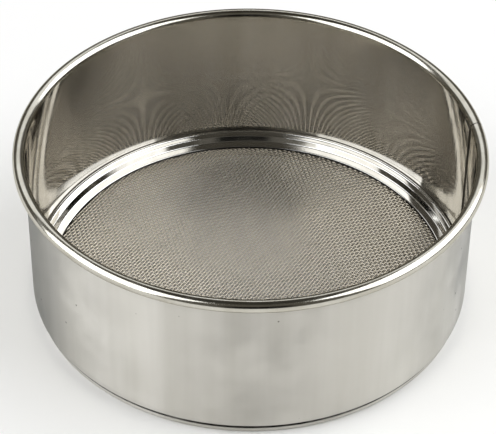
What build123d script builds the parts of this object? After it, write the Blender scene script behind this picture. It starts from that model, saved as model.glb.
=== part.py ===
from build123d import *
from math import cos, degrees, hypot, radians, sin
import os

# Drum sieve of polished stainless sheet: hoop, rim wire, seat ring, sieve cloth and base ring.
# Millimetres. The origin is the centre of the underside, +Z is up and -Y is the front.

# Whole object
rim_diameter = 203.0
overall_height = 77.8
sheet = 0.5
fit_clearance = 0.05
cut_overrun = 1.0

# Curled rim, rolled outwards round its wire
bead_diameter = 5.4
curl_sweep = 305.0
curl_joint_gap = 0.5

# Base ring, a rolled channel that is open towards the middle
base_height = 3.6
base_inset = 1.4
base_corner_radius = 1.3

# Sieve cloth. The real cloth has a 1.47 mm mesh: the net here has wide gaps of the same direction.
cloth_thickness = 0.8
cloth_edge_clearance = 0.6
net_pitch = 9.6
net_bar = 1.2
net_margin = 0.6
weave_angle = -30.5

# Hoop flange, and seat ring with a lower ledge by the cloth, a step, and an upper ledge by the wall
flange_bend_radius = 0.6
ledge_width = 8.0
seat_nose_radius = 0.6
ledge_angle = 6.0
lower_ledge_run = 2.6
step_angle = 62.0
step_foot_radius = 0.7
step_run = 2.1
step_crest_radius = 0.65
seat_cove_radius = 0.8
seat_leg = 0.5

# Lap seam of the hoop, with its spot welds
seam_azimuth = 9.3
lap_width = 7.0
lap_gap = 0.4
weld_count = 5
weld_radius = 1.3
weld_depth = 0.15

# Places worked out from the sizes above
rim_radius = rim_diameter / 2
bead_radius = bead_diameter / 2
bead_centre_radius = rim_radius - bead_radius
bead_centre_height = overall_height - bead_radius
wall_inner_radius = rim_radius - bead_diameter
wall_outer_radius = wall_inner_radius + sheet
base_outer_radius = wall_outer_radius - base_inset
open_radius = wall_inner_radius - ledge_width
cloth_radius = base_outer_radius - cloth_edge_clearance
cloth_top = base_height + cloth_thickness
flange_top = cloth_top + sheet
ledge_top = flange_top + sheet
seat_leg_radius = wall_inner_radius - fit_clearance - sheet
ledge_rise, ledge_reach = sin(radians(ledge_angle)), cos(radians(ledge_angle))
step_rise, step_reach = sin(radians(step_angle)), cos(radians(step_angle))
end_bends = seat_nose_radius + seat_cove_radius
step_bends = step_foot_radius + step_crest_radius
fixed_reach = (
    end_bends * (1 - ledge_rise)
    + step_bends * (step_rise - ledge_rise)
    + lower_ledge_run * ledge_reach
    + step_run * step_reach
)
upper_ledge_run = (seat_leg_radius - open_radius - fixed_reach) / ledge_reach
seat_top = (
    ledge_top - seat_nose_radius
    + end_bends * ledge_reach
    + step_bends * (ledge_reach - step_reach)
    + (lower_ledge_run + upper_ledge_run) * ledge_rise
    + step_run * step_rise
    + seat_leg
)
lap_inner_radius = wall_inner_radius - sheet
lap_turn = degrees(lap_width / wall_inner_radius)
lap_bottom = seat_top + lap_gap
lap_height = bead_centre_height - lap_gap - lap_bottom
flange_start = open_radius + seat_nose_radius + fit_clearance

os.makedirs("parts", exist_ok=True)


# Section of rolled sheet. A move is a straight run, or a bend of (radius, turn) with left turns positive.
# The first face follows the moves, and the second comes back a sheet's thickness to its right.
def rolled_sheet(start, heading, moves):
    place = Vector(start)
    heading = Vector(heading)
    for move in moves:
        if isinstance(move, tuple):
            face = JernArc(place, heading, *move)
        else:
            face = Line(place, place + heading * move)
        place = face @ 1
        heading = face % 1
    edge = Line(place, place + heading.rotate(Axis.Z, -90) * sheet)
    place = edge @ 1
    heading = -heading
    for move in reversed(moves):
        if isinstance(move, tuple):
            radius, turn = move
            far_radius = radius + sheet if turn > 0 else radius - sheet
            face = JernArc(place, heading, far_radius, -turn)
        else:
            face = Line(place, place + heading * move)
        place = face @ 1
        heading = face % 1
    Line(place, start)


# Hoop: the first face is the inner one, from the flange up the wall and round the curl
with BuildPart() as drum_hoop:
    with BuildSketch(Plane.XZ):
        with BuildLine():
            rolled_sheet((flange_start, flange_top), (1, 0), [
                wall_inner_radius - flange_bend_radius - flange_start,
                (flange_bend_radius, 90),
                bead_centre_height - flange_top - flange_bend_radius,
                (bead_radius, -curl_sweep),
            ])
        make_face()
    revolve(axis=Axis.Z)

    # Inner leaf of the lap, from the curl's joint on, buried halfway into the wall to be one sheet with it
    with BuildSketch(Plane.XZ.rotated((0, 0, seam_azimuth))):
        with Locations((lap_inner_radius, lap_bottom)):
            Rectangle(sheet * 3 / 2, lap_height, align=(Align.MIN, Align.MIN))
    revolve(axis=Axis.Z, revolution_arc=lap_turn)

    # Spot welds, a column of shallow dimples down the lap
    seam = Plane.XY.rotated((0, 0, seam_azimuth + lap_turn / 2))
    seam_face = Plane(
        origin=seam.x_dir * (lap_inner_radius - cut_overrun) + Vector(0, 0, lap_bottom + lap_height / 2),
        x_dir=seam.y_dir,
        z_dir=seam.x_dir,
    )
    with BuildSketch(seam_face):
        with GridLocations(0, lap_height / weld_count, 1, weld_count):
            Circle(weld_radius)
    extrude(amount=cut_overrun + weld_depth, mode=Mode.SUBTRACT)

    # Joint of the curl, where the strip's two ends meet
    with BuildSketch(Plane.XY.offset(overall_height - bead_diameter).rotated((0, 0, seam_azimuth))):
        with Locations((bead_centre_radius + bead_radius / 2 + sheet, 0)):
            Rectangle(bead_diameter + sheet, curl_joint_gap)
    extrude(amount=bead_diameter + cut_overrun, mode=Mode.SUBTRACT)
drum_hoop.part.label = "drum_hoop"

# Rim wire, a plain ring inside the curl
with BuildPart() as rim_wire:
    with BuildSketch(Plane.XZ):
        with Locations((bead_centre_radius, bead_centre_height)):
            Circle(bead_radius - sheet - fit_clearance)
    revolve(axis=Axis.Z)
rim_wire.part.label = "rim_wire"

# Seat ring: the first face is the upper one, from the lip on the cloth over both ledges to the leg
with BuildPart() as seat_ring:
    with BuildSketch(Plane.XZ):
        with BuildLine():
            rolled_sheet((open_radius, cloth_top), (0, 1), [
                ledge_top - seat_nose_radius - cloth_top,
                (seat_nose_radius, ledge_angle - 90),
                lower_ledge_run,
                (step_foot_radius, step_angle - ledge_angle),
                step_run,
                (step_crest_radius, ledge_angle - step_angle),
                upper_ledge_run,
                (seat_cove_radius, 90 - ledge_angle),
                seat_leg,
            ])
        make_face()
    revolve(axis=Axis.Z)
seat_ring.part.label = "seat_ring"

# Sieve cloth: one holed disc, clamped between the hoop's flange and the base ring
net_gap = net_pitch - net_bar
net_reach = open_radius - net_margin
net_count = int(2 * net_reach / net_pitch)
gap_places = [
    place
    for place in GridLocations(net_pitch, net_pitch, net_count, net_count)
    if hypot(
        abs(place.position.X) + net_gap / 2,
        abs(place.position.Y) + net_gap / 2,
    ) < net_reach
]
with BuildPart() as sieve_cloth:
    with BuildSketch(Plane.XY.offset(base_height).rotated((0, 0, weave_angle))):
        Circle(cloth_radius)
        with Locations(*gap_places):
            Rectangle(net_gap, net_gap, mode=Mode.SUBTRACT)
    extrude(amount=cloth_thickness)
sieve_cloth.part.label = "sieve_cloth"

# Base ring: the first face is the outer one, over the top, down the band and back under
web_width = base_outer_radius - base_corner_radius - open_radius
with BuildPart() as base_ring:
    with BuildSketch(Plane.XZ):
        with BuildLine():
            rolled_sheet((open_radius, base_height), (1, 0), [
                web_width,
                (base_corner_radius, -90),
                base_height - 2 * base_corner_radius,
                (base_corner_radius, -90),
                web_width,
            ])
        make_face()
    revolve(axis=Axis.Z)
base_ring.part.label = "base_ring"

for piece in (drum_hoop, rim_wire, seat_ring, sieve_cloth, base_ring):
    export_step(piece.part, f"parts/{piece.part.label}.step")
    print(piece.part.label, round(piece.part.volume, 1), "mm3")
print("gaps in the cloth", len(gap_places))
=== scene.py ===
import bpy
import bmesh
import math
from mathutils import Matrix, Vector


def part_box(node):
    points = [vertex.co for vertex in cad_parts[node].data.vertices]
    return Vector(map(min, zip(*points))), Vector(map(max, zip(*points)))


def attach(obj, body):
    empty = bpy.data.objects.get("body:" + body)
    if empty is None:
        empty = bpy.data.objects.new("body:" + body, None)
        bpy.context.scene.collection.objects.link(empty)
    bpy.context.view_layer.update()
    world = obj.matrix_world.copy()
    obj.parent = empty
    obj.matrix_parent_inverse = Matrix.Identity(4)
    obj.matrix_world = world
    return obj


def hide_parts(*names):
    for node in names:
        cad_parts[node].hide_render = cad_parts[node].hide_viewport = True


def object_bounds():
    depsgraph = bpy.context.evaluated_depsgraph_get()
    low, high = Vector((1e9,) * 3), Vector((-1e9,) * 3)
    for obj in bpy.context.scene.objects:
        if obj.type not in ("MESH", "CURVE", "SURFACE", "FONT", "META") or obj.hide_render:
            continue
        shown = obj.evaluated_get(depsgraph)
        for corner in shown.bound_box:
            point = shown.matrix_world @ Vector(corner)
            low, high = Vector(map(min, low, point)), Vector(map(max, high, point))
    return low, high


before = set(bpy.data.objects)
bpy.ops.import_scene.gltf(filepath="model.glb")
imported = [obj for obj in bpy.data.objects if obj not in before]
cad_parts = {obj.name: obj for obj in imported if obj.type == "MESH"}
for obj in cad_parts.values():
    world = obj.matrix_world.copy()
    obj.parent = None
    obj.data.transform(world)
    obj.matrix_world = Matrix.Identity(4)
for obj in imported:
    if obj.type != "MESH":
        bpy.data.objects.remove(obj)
cadBox = [list(corner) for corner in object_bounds()]
mm = 0.001

# Points closer than this are one point, and the next is how near to a cut a point counts as on it
mergeDistance = 0.001 * mm
cutTolerance = 1e-7

# A sheet's edge that turns more than this is shaded as a corner
crispAngle = math.radians(40)
print("frame loaded, pieces:", sorted(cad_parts))


# Small tools shared by the pieces and the materials

def linearColour(hexColour, alpha=1.0):
    channels = [int(hexColour[i:i + 2], 16) / 255 for i in (1, 3, 5)]
    linear = [c / 12.92 if c <= 0.04045 else ((c + 0.055) / 1.055) ** 2.4 for c in channels]
    return (*linear, alpha)


def addNode(tree, kind, settings=None, values=None, links=None):
    node = tree.nodes.new(kind)
    for name, value in (settings or {}).items():
        setattr(node, name, value)
    for name, value in (values or {}).items():
        node.inputs[name].default_value = value
    for name, socket in (links or {}).items():
        tree.links.new(socket, node.inputs[name])
    return node


def newMaterial(name):
    material = bpy.data.materials.new(name)
    material.use_nodes = True
    material.node_tree.nodes.clear()
    return material, material.node_tree


def arcPoints(centre, radius, startAngle, turn, count):
    # Points of an arc in a section, as (distance from the axis, height), first point included
    angles = [math.radians(startAngle + turn * i / count) for i in range(count + 1)]
    return [(centre[0] + radius * math.cos(a), centre[1] + radius * math.sin(a)) for a in angles]


def addSection(bm, points):
    verts = [bm.verts.new((x, 0, z)) for x, z in points]
    edges = [bm.edges.new(pair) for pair in zip(verts, verts[1:])]
    return verts + edges


def everything(bm):
    return list(bm.verts) + list(bm.edges) + list(bm.faces)


def copyAll(bm, matrix):
    # Doubles what is there: a turned or shifted copy beside it
    copy = bmesh.ops.duplicate(bm, geom=everything(bm))["geom"]
    bmesh.ops.transform(bm, matrix=matrix, verts=[g for g in copy if isinstance(g, bmesh.types.BMVert)])


def spinRing(bm, section, steps):
    # An eighth of a turn about the sieve's axis, doubled three times to the whole ring
    bmesh.ops.spin(bm, geom=section, cent=(0, 0, 0), axis=(0, 0, 1), dvec=(0, 0, 0), angle=math.tau / 8,
                   steps=steps // 8, use_merge=False, use_normal_flip=False, use_duplicate=False)
    for share in (8, 4, 2):
        copyAll(bm, Matrix.Rotation(math.tau / share, 4, "Z"))
    bmesh.ops.remove_doubles(bm, verts=bm.verts, dist=mergeDistance)


def turnFaces(bm, outward):
    # All faces one way round. The outermost one faces away from the axis for 1, and towards it for -1.
    bmesh.ops.recalc_face_normals(bm, faces=bm.faces)
    probe = max(bm.faces, key=lambda f: f.calc_center_median().xy.length)
    away = probe.normal.dot(Vector((*probe.calc_center_median().xy, 0)))
    if away * outward < 0:
        bmesh.ops.reverse_faces(bm, faces=bm.faces)


def finishPiece(bm, name, materials, nodes, thickness=0.0, backOffset=0, edgeOffset=0):
    for face in bm.faces:
        face.smooth = True
    mesh = bpy.data.meshes.new(name)
    bm.to_mesh(mesh)
    bm.free()
    for material in materials:
        mesh.materials.append(material)
    piece = bpy.data.objects.new(name, mesh)
    bpy.context.scene.collection.objects.link(piece)
    if thickness:
        sheet = piece.modifiers.new("sheet thickness", "SOLIDIFY")
        sheet.thickness = thickness
        sheet.offset = -1
        sheet.use_even_offset = True
        sheet.material_offset = backOffset
        sheet.material_offset_rim = edgeOffset
        crisp = piece.modifiers.new("crisp sheet edges", "EDGE_SPLIT")
        crisp.split_angle = crispAngle
    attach(piece, "root")
    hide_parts(*nodes)
    print("made", name, len(mesh.polygons), "faces")
    return piece


# Materials

# Noise settings shared by the materials: its roughness, the range of it that is used, and its stretch by axis
texture = {
    "noiseRoughness": 0.6,
    "hazeRange": (0.35, 0.7),
    "patchRange": (0.35, 0.65),
    "bandStretch": (1, 1, 0.06),
    "lineStretch": (0.02, 0.02, 1),
    "streakStretch": (1, 1, 0.15),
}


def addNoise(tree, place, size, detail=3.0, stretch=(1, 1, 1)):
    # Noise with patches of a given size, drawn out along an axis whose stretch is below 1
    scaled = addNode(tree, "ShaderNodeVectorMath", {"operation": "MULTIPLY"}, {1: stretch}, {0: place})
    noise = addNode(tree, "ShaderNodeTexNoise",
                    values={"Scale": 1 / size, "Detail": detail, "Roughness": texture["noiseRoughness"]},
                    links={"Vector": scaled.outputs["Vector"]})
    return noise.outputs["Fac"]


def addRange(tree, value, fromRange, toRange, kind="LINEAR"):
    node = addNode(tree, "ShaderNodeMapRange", {"interpolation_type": kind},
                   {"From Min": fromRange[0], "From Max": fromRange[1],
                    "To Min": toRange[0], "To Max": toRange[1]},
                   {"Value": value})
    return node.outputs["Result"]


def addMath(tree, operation, first, second):
    # Each side is a number or the output of another node
    sides = {0: first, 1: second}
    numbers = {name: side for name, side in sides.items() if isinstance(side, (int, float))}
    sockets = {name: side for name, side in sides.items() if name not in numbers}
    return addNode(tree, "ShaderNodeMath", {"operation": operation}, numbers, sockets).outputs["Value"]


def addTint(tree, share, first, second):
    node = addNode(tree, "ShaderNodeMix", {"data_type": "RGBA"}, links={0: share})
    for socket, colour in ((6, first), (7, second)):
        if isinstance(colour, str):
            node.inputs[socket].default_value = linearColour(colour)
        else:
            tree.links.new(colour, node.inputs[socket])
    return node.outputs[2]


def addBump(tree, height, distance, normal=None):
    links = {"Height": height}
    if normal:
        links["Normal"] = normal
    bump = addNode(tree, "ShaderNodeBump", values={"Strength": 1.0, "Distance": distance}, links=links)
    return bump.outputs["Normal"]


# Marks beside the lap seam: its middle in degrees past the joint, and the cosines of the turn away from it
# between which they fade in
seamMarks = {
    "lapMiddle": 2,
    "fade": (0.9, 0.99),
}


def nearSeam(tree, place):
    # 1 beside the lap seam, falling to 0 some 26 degrees away
    flat = addNode(tree, "ShaderNodeVectorMath", {"operation": "MULTIPLY"}, {1: (1, 1, 0)}, {0: place})
    level = addNode(tree, "ShaderNodeVectorMath", {"operation": "NORMALIZE"},
                    links={0: flat.outputs["Vector"]})
    angle = math.radians(hoop["seamAzimuth"] + seamMarks["lapMiddle"])
    toSeam = addNode(tree, "ShaderNodeVectorMath", {"operation": "DOT_PRODUCT"},
                     {1: (math.cos(angle), math.sin(angle), 0)}, {0: level.outputs["Vector"]})
    return addRange(tree, toSeam.outputs["Value"], seamMarks["fade"], (0, 1), "SMOOTHSTEP")


# Painted shade: a dark tint in patches, a little rougher, in the groove by the cloth between these heights,
# on every sheet piece
paintedGrooveShade = {
    "low": (2.2 * mm, 2.8 * mm),
    "high": (4.9 * mm, 5.4 * mm),
    "tint": "#24221F",
    "patchSize": 9 * mm,
    "share": (0.75, 1.0),
    "addedRoughness": 0.3,
}


# Where the groove's painted shade lies: a band of heights, broken into patches
def grooveShadeMask(tree, place):
    height = addNode(tree, "ShaderNodeSeparateXYZ", links={"Vector": place}).outputs["Z"]
    above = addRange(tree, height, paintedGrooveShade["low"], (0, 1), "SMOOTHSTEP")
    below = addRange(tree, height, paintedGrooveShade["high"], (1, 0), "SMOOTHSTEP")
    noise = addNoise(tree, place, paintedGrooveShade["patchSize"])
    patches = addRange(tree, noise, texture["patchRange"], paintedGrooveShade["share"])
    return addMath(tree, "MULTIPLY", addMath(tree, "MULTIPLY", above, below), patches)


def makeSheetMetal(name, look):
    # Stainless sheet: cloudy haze, faint upright rub bands, slow waves from forming, fine lines from the
    # rolls, a few small specks, and painted shade in the groove
    material, tree = newMaterial(name)
    place = addNode(tree, "ShaderNodeTexCoord").outputs["Object"]
    haze = addNoise(tree, place, look["hazeSize"], 5.0)
    bands = addNoise(tree, place, look["bandSize"], 3.0, texture["bandStretch"])
    bands = addRange(tree, bands, texture["patchRange"], (0, 1))
    speck = addNode(tree, "ShaderNodeTexVoronoi", values={"Scale": 1 / look["speckSpacing"]},
                    links={"Vector": place})
    clean = addRange(tree, speck.outputs["Distance"], look["speckRange"], (0, 1), "SMOOTHSTEP")
    tint = addTint(tree, clean, look["speckTint"], addTint(tree, bands, look["tint"], look["hazeTint"]))
    # Painted shade darkens the groove by the cloth
    shadeInGroove = grooveShadeMask(tree, place)
    tint = addTint(tree, shadeInGroove, tint, paintedGrooveShade["tint"])
    rough = addRange(tree, haze, texture["hazeRange"], look["roughness"])
    rough = addMath(tree, "ADD", rough, addMath(tree, "MULTIPLY", shadeInGroove, paintedGrooveShade["addedRoughness"]))
    normal = addBump(tree, addNoise(tree, place, look["waveSize"], 1.0), look["waveHeight"])
    lines = addNoise(tree, place, look["lineSize"], 2.0, texture["lineStretch"])
    normal = addBump(tree, lines, look["lineHeight"], normal)
    streaks = addNoise(tree, place, look["streakSize"], 2.0, texture["streakStretch"])
    streaks = addMath(tree, "MULTIPLY", streaks, nearSeam(tree, place))
    normal = addBump(tree, streaks, look["streakHeight"], normal)
    # The direction round the sieve's axis at each point is the rolling direction
    around = addNode(tree, "ShaderNodeVectorMath", {"operation": "CROSS_PRODUCT"}, {0: (0, 0, 1)}, {1: place})
    shader = addNode(tree, "ShaderNodeBsdfPrincipled",
                     values={"Metallic": 1.0, "Specular Tint": linearColour(look["edgeTint"]),
                             "Anisotropic": look["drawnOut"], "Anisotropic Rotation": 0.25},
                     links={"Base Color": tint, "Roughness": rough, "Normal": normal,
                            "Tangent": around.outputs["Vector"]})
    addNode(tree, "ShaderNodeOutputMaterial", links={"Surface": shader.outputs["BSDF"]})
    return material


# Bright-annealed stainless sheet, rolled between polished rolls: it mirrors its surroundings, a little drawn
# out across the rolling direction, with a faint haze and a slow waviness from being bent into a hoop
brightLook = {
    "tint": "#DBDAD7",
    "hazeTint": "#D1D0CC",
    "edgeTint": "#F2F0EC",
    "roughness": (0.06, 0.11),
    "hazeSize": 18 * mm,
    "bandSize": 14 * mm,
    "waveSize": 38 * mm,
    "waveHeight": 0.03 * mm,
    "lineSize": 0.5 * mm,
    "lineHeight": 0.0002 * mm,
    "streakSize": 5 * mm,
    "streakHeight": 0.03 * mm,
    "speckSpacing": 17 * mm,
    "speckRange": (0.015, 0.025),
    "speckTint": "#8C8880",
    "drawnOut": 0.6,
}

# The wall's inner face: the same sheet as the rolled ring below it, tinted darker as painted shade inside the
# drum
shadedWallLook = {
    **brightLook,
    "tint": "#C0BDB7",
    "hazeTint": "#B3B0A9",
}

# The same sheet on its outer face, rubbed by handling: the fine rolling lines run round the hoop and draw
# reflections out up and down, so the wall shows soft upright bands
satinLook = {
    "tint": "#D3D0C9",
    "hazeTint": "#CAC7BF",
    # Painted shade: this dark bluish edge tint darkens and cools the outer wall at grazing, towards its far
    # sides
    "edgeTint": "#8A9199",
    "roughness": (0.3, 0.44),
    "hazeSize": 30 * mm,
    "bandSize": 14 * mm,
    "waveSize": 40 * mm,
    "waveHeight": 0.12 * mm,
    "lineSize": 0.35 * mm,
    "lineHeight": 0.004 * mm,
    "streakSize": 6 * mm,
    "streakHeight": 0.01 * mm,
    "speckSpacing": 11 * mm,
    "speckRange": (0.03, 0.055),
    "speckTint": "#6F6B64",
    "drawnOut": 0.9,
}

# The same sheet where it is curled into the rim: stretching over the wire dulls it and leaves small ripples
curledLook = {
    "tint": "#C9C6BC",
    "hazeTint": "#B9B5A9",
    "edgeTint": "#E4E2DC",
    "roughness": (0.13, 0.2),
    "hazeSize": 7 * mm,
    "bandSize": 14 * mm,
    "waveSize": 9 * mm,
    "waveHeight": 0.05 * mm,
    "lineSize": 0.4 * mm,
    "lineHeight": 0.0006 * mm,
    "streakSize": 5 * mm,
    "streakHeight": 0.02 * mm,
    "speckSpacing": 9 * mm,
    "speckRange": (0.03, 0.05),
    "speckTint": "#7E7A72",
    "drawnOut": 0.3,
}

# The sheet's cut edges: sheared metal, dull and grey, so they show as thin dark lines. The same grey also
# paints a shade line on the seat ring's inner lip, along the cloth
shearedEdgeAndShadeLook = {
    "tint": "#6E6B65",
    "hazeTint": "#55524D",
    "edgeTint": "#9A9792",
    "roughness": (0.4, 0.55),
    "hazeSize": 2 * mm,
    "bandSize": 14 * mm,
    "waveSize": 4 * mm,
    "waveHeight": 0.02 * mm,
    "lineSize": 0.1 * mm,
    "lineHeight": 0.004 * mm,
    "streakSize": 3 * mm,
    "streakHeight": 0.005 * mm,
    "speckSpacing": 9 * mm,
    "speckRange": (0.03, 0.05),
    "speckTint": "#45423E",
    "drawnOut": 0.0,
}


def makeWireMetal(name, look):
    material, tree = newMaterial(name)
    place = addNode(tree, "ShaderNodeTexCoord").outputs["Object"]
    dust = addNoise(tree, place, look["dustSize"], 4.0)
    grain = addNoise(tree, place, look["grainSize"], 2.0)
    shader = addNode(tree, "ShaderNodeBsdfPrincipled", values={"Metallic": 1.0},
                     links={"Base Color": addTint(tree, dust, look["tint"], look["dustTint"]),
                            "Roughness": addRange(tree, dust, texture["hazeRange"], look["roughness"]),
                            "Normal": addBump(tree, grain, look["grainHeight"])})
    addNode(tree, "ShaderNodeOutputMaterial", links={"Surface": shader.outputs["BSDF"]})
    return material


# Drawn stainless wire: bright but with fine die lines, so each wire carries one soft highlight, with dusty
# patches where fine flour has dulled the weave
clothWireLook = {
    "tint": "#C6BFB1",
    "dustTint": "#BBB4A7",
    "roughness": (0.17, 0.25),
    "dustSize": 25 * mm,
    "grainSize": 0.25 * mm,
    "grainHeight": 0.006 * mm,
}

# Plain steel wire inside the curl: dull and grey, it only shows as a dark spot in the curl's joint
rimWireLook = {
    "tint": "#4B4945",
    "dustTint": "#36342F",
    "roughness": (0.45, 0.6),
    "dustSize": 6 * mm,
    "grainSize": 0.4 * mm,
    "grainHeight": 0.02 * mm,
}

# Sizes read from the frame
rimRadius = cadBox[1][0]
overallHeight = cadBox[1][2]
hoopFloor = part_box("drum_hoop")[0].z
wireLow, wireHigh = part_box("rim_wire")
seatLow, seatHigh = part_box("seat_ring")
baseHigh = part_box("base_ring")[1]
clothLow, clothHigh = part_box("sieve_cloth")

sheet = 0.5 * mm
hoop = {
    "beadDiameter": 5.4 * mm,
    "curlSweep": 305,
    "flangeWidth": 7.3 * mm,
    "bendRadius": 0.6 * mm,
    "bendSteps": 4,
    "curlSteps": 36,
    "wallRows": 24,
    "turnSteps": 360,
    "seamAzimuth": 9.3,
    "lapWidth": 7.0 * mm,
    "lapRows": 60,
    "lapSteps": 8,
    "lapGap": 0.4 * mm,
    "jointGap": 0.5 * mm,
    "beadSlack": 1.01,
    "flangeSlack": 0.01 * mm,
}
beadRadius = hoop["beadDiameter"] / 2
beadCentre = (rimRadius - beadRadius, overallHeight - beadRadius)
wallRadius = rimRadius - hoop["beadDiameter"]
seamTurn = Matrix.Rotation(math.radians(hoop["seamAzimuth"]), 4, "Z")

mirrorSheet = makeSheetMetal("brightAnnealedSheet", brightLook)
shadedWallSheet = makeSheetMetal("shadedAnnealedSheet", shadedWallLook)
satinSheet = makeSheetMetal("rubbedStainlessSheet", satinLook)
curledSheet = makeSheetMetal("curledStainlessSheet", curledLook)
shearedEdgeAndShadeLine = makeSheetMetal("shearedEdgeAndPaintedShade", shearedEdgeAndShadeLook)
drawnWire = makeWireMetal("drawnStainlessWire", clothWireLook)
plainWire = makeWireMetal("plainSteelWire", rimWireLook)
print("materials made")


def makeHoop():
    bm = bmesh.new()
    flangeTop = hoopFloor + sheet
    bendCentre = (wallRadius - hoop["bendRadius"], flangeTop + hoop["bendRadius"])
    section = [(wallRadius - hoop["flangeWidth"], flangeTop)]
    section += arcPoints(bendCentre, hoop["bendRadius"], -90, 90, hoop["bendSteps"])
    wallHeight = beadCentre[1] - bendCentre[1]
    section += [(wallRadius, bendCentre[1] + wallHeight * i / hoop["wallRows"])
                for i in range(1, hoop["wallRows"])]
    section += arcPoints(beadCentre, beadRadius, 180, -hoop["curlSweep"], hoop["curlSteps"])
    spinRing(bm, addSection(bm, section), hoop["turnSteps"])

    # The curl's ends meet at the seam with a narrow gap
    for side in (-1, 1):
        offset = Vector((0, side * hoop["jointGap"] / 2, 0))
        bmesh.ops.bisect_plane(bm, geom=everything(bm), dist=cutTolerance, plane_co=offset,
                               plane_no=(0, 1, 0))
    joint = [f for f in bm.faces
             if abs(f.calc_center_median().y) < hoop["jointGap"] / 2
             and f.calc_center_median().x > wallRadius + sheet]
    bmesh.ops.delete(bm, geom=joint, context="FACES")

    # Inner leaf of the lap, one sheet proud of the wall, from the curl's joint on
    lapBottom = seatHigh.z + hoop["lapGap"]
    lapHeight = beadCentre[1] - hoop["lapGap"] - lapBottom
    lapTurn = hoop["lapWidth"] / wallRadius
    leaf = addSection(bm, [(wallRadius - sheet, lapBottom + lapHeight * i / hoop["lapRows"])
                           for i in range(hoop["lapRows"] + 1)])
    bmesh.ops.spin(bm, geom=leaf, cent=(0, 0, 0), axis=(0, 0, 1), dvec=(0, 0, 0), angle=lapTurn,
                   steps=hoop["lapSteps"], use_merge=False, use_normal_flip=False, use_duplicate=False)

    bmesh.ops.transform(bm, matrix=seamTurn, verts=bm.verts)
    for face in bm.faces:
        centre = face.calc_center_median()
        inward = Vector((-centre.x, -centre.y, 0))
        bead = Vector((*(centre.xy.normalized() * beadCentre[0]), beadCentre[1]))
        wanted = inward
        if (centre - bead).length < beadRadius * hoop["beadSlack"]:
            wanted = centre - bead
            face.material_index = 2
        if centre.z < flangeTop + hoop["flangeSlack"]:
            wanted = Vector((0, 0, 1))
        if face.normal.dot(wanted) < 0:
            face.normal_flip()
    # The inner face takes the darker-tinted sheet, painted shade inside the drum
    return finishPiece(bm, "drumHoop", [shadedWallSheet, satinSheet, curledSheet, shearedEdgeAndShadeLine],
                       ["drum_hoop"], sheet, backOffset=1, edgeOffset=3)


rim = {
    "wireSides": 16,
    "turnSteps": 240,
}


def makeRimWire():
    bm = bmesh.new()
    wireRadius = (wireHigh.z - wireLow.z) / 2
    centre = (wireHigh.x - wireRadius, (wireHigh.z + wireLow.z) / 2)
    section = arcPoints(centre, wireRadius, 0, 360, rim["wireSides"])[:-1]
    verts = [bm.verts.new((x, 0, z)) for x, z in section]
    edges = [bm.edges.new((a, b)) for a, b in zip(verts, verts[1:] + verts[:1])]
    spinRing(bm, verts + edges, rim["turnSteps"])
    bmesh.ops.recalc_face_normals(bm, faces=bm.faces)
    return finishPiece(bm, "rimWire", [plainWire], ["rim_wire"])


seat = {
    "ledgeWidth": 8.0 * mm,
    "noseRadius": 0.6 * mm,
    "ledgeAngle": 6,
    "lowerRun": 2.6 * mm,
    "stepAngle": 62,
    "footRadius": 0.7 * mm,
    "stepRun": 2.1 * mm,
    "crestRadius": 0.65 * mm,
    "coveRadius": 0.8 * mm,
    "lipShadeStrip": 0.12 * mm,
    "noseSteps": 8,
    "stepSteps": 6,
    "coveSteps": 8,
    "turnSteps": 360,
}


def addBend(section, heading, radius, turn, count):
    # A bend from the section's last point on, with turns to the left positive
    side = 1 if turn > 0 else -1
    x, z = section[-1]
    toCentre = math.radians(heading + 90 * side)
    centre = (x + radius * math.cos(toCentre), z + radius * math.sin(toCentre))
    section += arcPoints(centre, radius, heading - 90 * side, turn, count)[1:]


def addRun(section, heading, length):
    x, z = section[-1]
    angle = math.radians(heading)
    section.append((x + length * math.cos(angle), z + length * math.sin(angle)))


def makeSeatRing():
    # From the lip on the cloth over the lower ledge, up the step and over the upper ledge to the wall
    bm = bmesh.new()
    innerRadius = wallRadius - seat["ledgeWidth"]
    legRadius = seatHigh.x - sheet
    slope = seat["ledgeAngle"]
    step = seat["stepAngle"]
    section = [(innerRadius, seatLow.z), (innerRadius, hoopFloor + 2 * sheet - seat["noseRadius"])]
    addBend(section, 90, seat["noseRadius"], slope - 90, seat["noseSteps"])
    addRun(section, slope, seat["lowerRun"])
    addBend(section, slope, seat["footRadius"], step - slope, seat["stepSteps"])
    addRun(section, step, seat["stepRun"])
    addBend(section, step, seat["crestRadius"], slope - step, seat["stepSteps"])
    coveStart = legRadius - seat["coveRadius"] * (1 - math.sin(math.radians(slope)))
    addRun(section, slope, (coveStart - section[-1][0]) / math.cos(math.radians(slope)))
    addBend(section, slope, seat["coveRadius"], 90 - slope, seat["coveSteps"])
    section.append((legRadius, seatHigh.z))
    spinRing(bm, addSection(bm, section), seat["turnSteps"])
    turnFaces(bm, -1)
    # Painted shade: the inner lip takes the dark cut-edge grey, a thin shade line along the cloth
    for face in bm.faces:
        if face.calc_center_median().xy.length < innerRadius + seat["lipShadeStrip"]:
            face.material_index = 1
    return finishPiece(bm, "seatRing", [mirrorSheet, shearedEdgeAndShadeLine], ["seat_ring"], sheet,
                       edgeOffset=1)


base = {
    "cornerRadius": 1.3 * mm,
    "cornerSteps": 8,
    "turnSteps": 360,
}


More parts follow.
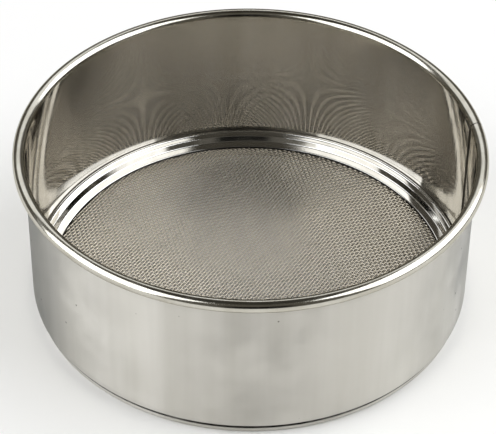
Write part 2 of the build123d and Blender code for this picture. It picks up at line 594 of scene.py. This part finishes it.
def makeBaseRing():
    bm = bmesh.new()
    corner = base["cornerRadius"]
    outer = baseHigh.x
    inner = wallRadius - seat["ledgeWidth"]
    section = [(inner, baseHigh.z)]
    section += arcPoints((outer - corner, baseHigh.z - corner), corner, 90, -90, base["cornerSteps"])
    section += arcPoints((outer - corner, corner), corner, 0, -90, base["cornerSteps"])
    section += [(inner, 0)]
    spinRing(bm, addSection(bm, section), base["turnSteps"])
    turnFaces(bm, 1)
    return finishPiece(bm, "baseRing", [satinSheet, shearedEdgeAndShadeLine], ["base_ring"], sheet,
                       edgeOffset=1)


cloth = {
    "pitch": 1.47 * mm,
    "wireDiameter": 0.7 * mm,
    "wireSides": 4,
    "reach": 91.5 * mm,
    "weaveAngle": -30.5,
    "warpCrimp": 0.3,
    "weftCrimp": 0.1,
}


def makeWireLayer(name, quarterTurn, crimp):
    # Parallel wires that pass over and under the crossing ones, with two steps to a crossing. The crimp is a
    # share of the wire's diameter: the cloth is rolled flat, so the wires are pressed into each other.
    bm = bmesh.new()
    pitch = cloth["pitch"]
    ends = []
    for row in (0.5, 1.5):
        start = Matrix.Translation((0.25 * pitch, row * pitch, 0)) @ Matrix.Rotation(math.radians(90), 4, "Y")
        ring = bmesh.ops.create_circle(bm, segments=cloth["wireSides"], radius=cloth["wireDiameter"] / 2,
                                       matrix=start)["verts"]
        ends += list({edge for vert in ring for edge in vert.link_edges})
    bmesh.ops.spin(bm, geom=ends, cent=(0, 0, 0), axis=(0, 0, 1), dvec=(pitch / 2, 0, 0), angle=0,
                   steps=4, use_merge=False, use_normal_flip=False, use_duplicate=False)
    for vert in bm.verts:
        over = (math.floor(vert.co.x / pitch) + math.floor(vert.co.y / pitch)) % 2
        vert.co.z += crimp * (2 * over - 1) * cloth["wireDiameter"]
    span = 2 * pitch
    while span < 2 * cloth["reach"]:
        copyAll(bm, Matrix.Translation((span, 0, 0)))
        copyAll(bm, Matrix.Translation((0, span, 0)))
        span *= 2
    bmesh.ops.remove_doubles(bm, verts=bm.verts, dist=mergeDistance)

    # Trimmed to a disc about the middle, and the cut ends closed
    middle = Vector((span / 2, span / 2, 0))
    far = [vert for vert in bm.verts if (vert.co - middle).length > cloth["reach"]]
    bmesh.ops.delete(bm, geom=far, context="VERTS")
    bmesh.ops.holes_fill(bm, edges=[edge for edge in bm.edges if edge.is_boundary], sides=4)
    bmesh.ops.recalc_face_normals(bm, faces=bm.faces)
    turn = Matrix.Rotation(math.radians(cloth["weaveAngle"] + quarterTurn), 4, "Z")
    height = Vector((0, 0, (clothLow.z + clothHigh.z) / 2))
    toPlace = Matrix.Translation(height) @ turn @ Matrix.Translation(-middle)
    bmesh.ops.transform(bm, matrix=toPlace, verts=bm.verts)
    return finishPiece(bm, name, [drawnWire], ["sieve_cloth"])


makeHoop()
makeRimWire()
makeSeatRing()
makeBaseRing()
makeWireLayer("clothWarp", 0, cloth["warpCrimp"])
makeWireLayer("clothWeft", 90, -cloth["weftCrimp"])
print("pieces made")


# Floor, lights and world

studio = {
    "floorColour": "#EEEDEA",
    "floorWhite": 0.78,
    "floorInMetal": 0.5,
    "tableSize": 4.0,
    "whiteFrom": (0.098, 0.21),
    "boxDistance": 1.1,
    "boxColour": "#FAFCFF",
    "leftBox": {"azimuth": -67, "elevation": 34, "size": (1.2, 1.2), "radiance": 3.1},
    "rightBox": {"azimuth": 89, "elevation": 40, "size": (1.5, 1.1), "radiance": 3.2},
    "backBox": {"azimuth": 180, "elevation": 48, "size": (2.0, 0.35), "radiance": 1.2},
    "room": "#625F58",
    "opening": "#171716",
    "openingAzimuth": 4,
    "openingSides": (0.955, 0.985),
    "openingTop": (0.50, 0.57),
    "ceiling": "#3A3832",
    "ceilingFrom": (0.86, 0.96),
}


def makeFloor():
    # White for the camera and in the metal, and still shaded by the sieve
    material, tree = newMaterial("paleTable")
    ray = addNode(tree, "ShaderNodeLightPath")
    inMetal = addMath(tree, "MAXIMUM", ray.outputs["Is Glossy Ray"], ray.outputs["Is Transmission Ray"])
    inMetal = addMath(tree, "MULTIPLY", inMetal, studio["floorInMetal"])
    seen = addMath(tree, "MAXIMUM", ray.outputs["Is Camera Ray"], inMetal)
    place = addNode(tree, "ShaderNodeTexCoord").outputs["Object"]
    away = addNode(tree, "ShaderNodeVectorMath", {"operation": "LENGTH"}, links={0: place})
    whiteShares = (0, studio["floorWhite"])
    white = addRange(tree, away.outputs["Value"], studio["whiteFrom"], whiteShares, "SMOOTHSTEP")
    share = addMath(tree, "MULTIPLY", seen, white)
    paint = addNode(tree, "ShaderNodeBsdfDiffuse", values={"Color": linearColour(studio["floorColour"])})
    glow = addNode(tree, "ShaderNodeEmission", values={"Color": (1, 1, 1, 1), "Strength": 1.0})
    both = addNode(tree, "ShaderNodeMixShader",
                   links={0: share, 1: paint.outputs["BSDF"], 2: glow.outputs["Emission"]})
    addNode(tree, "ShaderNodeOutputMaterial", links={"Surface": both.outputs[0]})
    bm = bmesh.new()
    bmesh.ops.create_grid(bm, x_segments=1, y_segments=1, size=studio["tableSize"])
    mesh = bpy.data.meshes.new("tableTop")
    bm.to_mesh(mesh)
    bm.free()
    mesh.materials.append(material)
    table = bpy.data.objects.new("tableTop", mesh)
    bpy.context.scene.collection.objects.link(table)


def makeSoftBox(name, box):
    # Azimuth 0 is the front and grows to the right, as seen from the sieve
    azimuth = math.radians(box["azimuth"])
    elevation = math.radians(box["elevation"])
    toLight = Vector((math.sin(azimuth) * math.cos(elevation), -math.cos(azimuth) * math.cos(elevation),
                      math.sin(elevation)))
    lamp = bpy.data.lights.new(name, "AREA")
    lamp.shape = "RECTANGLE"
    lamp.size, lamp.size_y = box["size"]
    lamp.color = linearColour(studio["boxColour"])[:3]
    lamp.energy = box["radiance"] * math.pi * lamp.size * lamp.size_y
    holder = bpy.data.objects.new(name, lamp)
    bpy.context.scene.collection.objects.link(holder)
    holder.location = toLight * studio["boxDistance"]
    holder.rotation_mode = "QUATERNION"
    holder.rotation_quaternion = (-toLight).to_track_quat("-Z", "Y")


def makeWorld():
    # A grey room with a darker ceiling, and a dark doorway low at the front
    world = bpy.data.worlds.new("paleStudio")
    bpy.context.scene.world = world
    world.use_nodes = True
    tree = world.node_tree
    tree.nodes.clear()
    ray = addNode(tree, "ShaderNodeLightPath")
    direction = addNode(tree, "ShaderNodeTexCoord").outputs["Generated"]
    flat = addNode(tree, "ShaderNodeVectorMath", {"operation": "MULTIPLY"}, {1: (1, 1, 0)}, {0: direction})
    level = addNode(tree, "ShaderNodeVectorMath", {"operation": "NORMALIZE"}, links={0: flat.outputs[0]})
    azimuth = math.radians(studio["openingAzimuth"])
    front = addNode(tree, "ShaderNodeVectorMath", {"operation": "DOT_PRODUCT"},
                    {1: (math.sin(azimuth), -math.cos(azimuth), 0)}, {0: level.outputs[0]})
    height = addNode(tree, "ShaderNodeSeparateXYZ", links={"Vector": direction}).outputs["Z"]
    wide = addRange(tree, front.outputs["Value"], studio["openingSides"], (0, 1), "SMOOTHSTEP")
    low = addRange(tree, height, studio["openingTop"], (1, 0), "SMOOTHSTEP")
    tone = addTint(tree, addRange(tree, height, studio["ceilingFrom"], (0, 1), "SMOOTHSTEP"), studio["room"],
                   studio["ceiling"])
    tone = addTint(tree, addMath(tree, "MULTIPLY", wide, low), tone, studio["opening"])
    room = addNode(tree, "ShaderNodeBackground", values={"Strength": 1.0}, links={"Color": tone})
    seen = addNode(tree, "ShaderNodeBackground", values={"Color": (1, 1, 1, 1), "Strength": 1.0})
    both = addNode(tree, "ShaderNodeMixShader", links={0: ray.outputs["Is Camera Ray"], 1: room.outputs[0],
                                                       2: seen.outputs[0]})
    addNode(tree, "ShaderNodeOutputWorld", links={"Surface": both.outputs[0]})


makeFloor()
makeSoftBox("softBoxLeft", studio["leftBox"])
makeSoftBox("softBoxRight", studio["rightBox"])
makeSoftBox("softBoxBack", studio["backBox"])
makeWorld()
bpy.context.scene.view_settings.view_transform = "Standard"

# Camera at the photograph's place, from a fit of the sieve's outlines in the photograph
photo = {
    "widthPixels": 496,
    "focalPixels": 2100,
    "pitch": 40.672,
    "roll": 0.689,
    "turn": 0.069,
    "place": (0.0, -0.69936545, 0.6372679),
    "sensorMillimetres": 36,
    "clip": (0.01, 20),
}


def makeCamera():
    lens = bpy.data.cameras.new("photoCamera")
    lens.sensor_width = photo["sensorMillimetres"]
    lens.lens = lens.sensor_width * photo["focalPixels"] / photo["widthPixels"]
    lens.clip_start, lens.clip_end = photo["clip"]
    camera = bpy.data.objects.new("photoCamera", lens)
    bpy.context.scene.collection.objects.link(camera)
    camera.matrix_world = (Matrix.Translation(photo["place"])
                           @ Matrix.Rotation(math.radians(photo["turn"]), 4, "Z")
                           @ Matrix.Rotation(math.radians(90 - photo["pitch"]), 4, "X")
                           @ Matrix.Rotation(math.radians(photo["roll"]), 4, "Z"))
    bpy.context.scene.camera = camera


makeCamera()
print("camera placed")
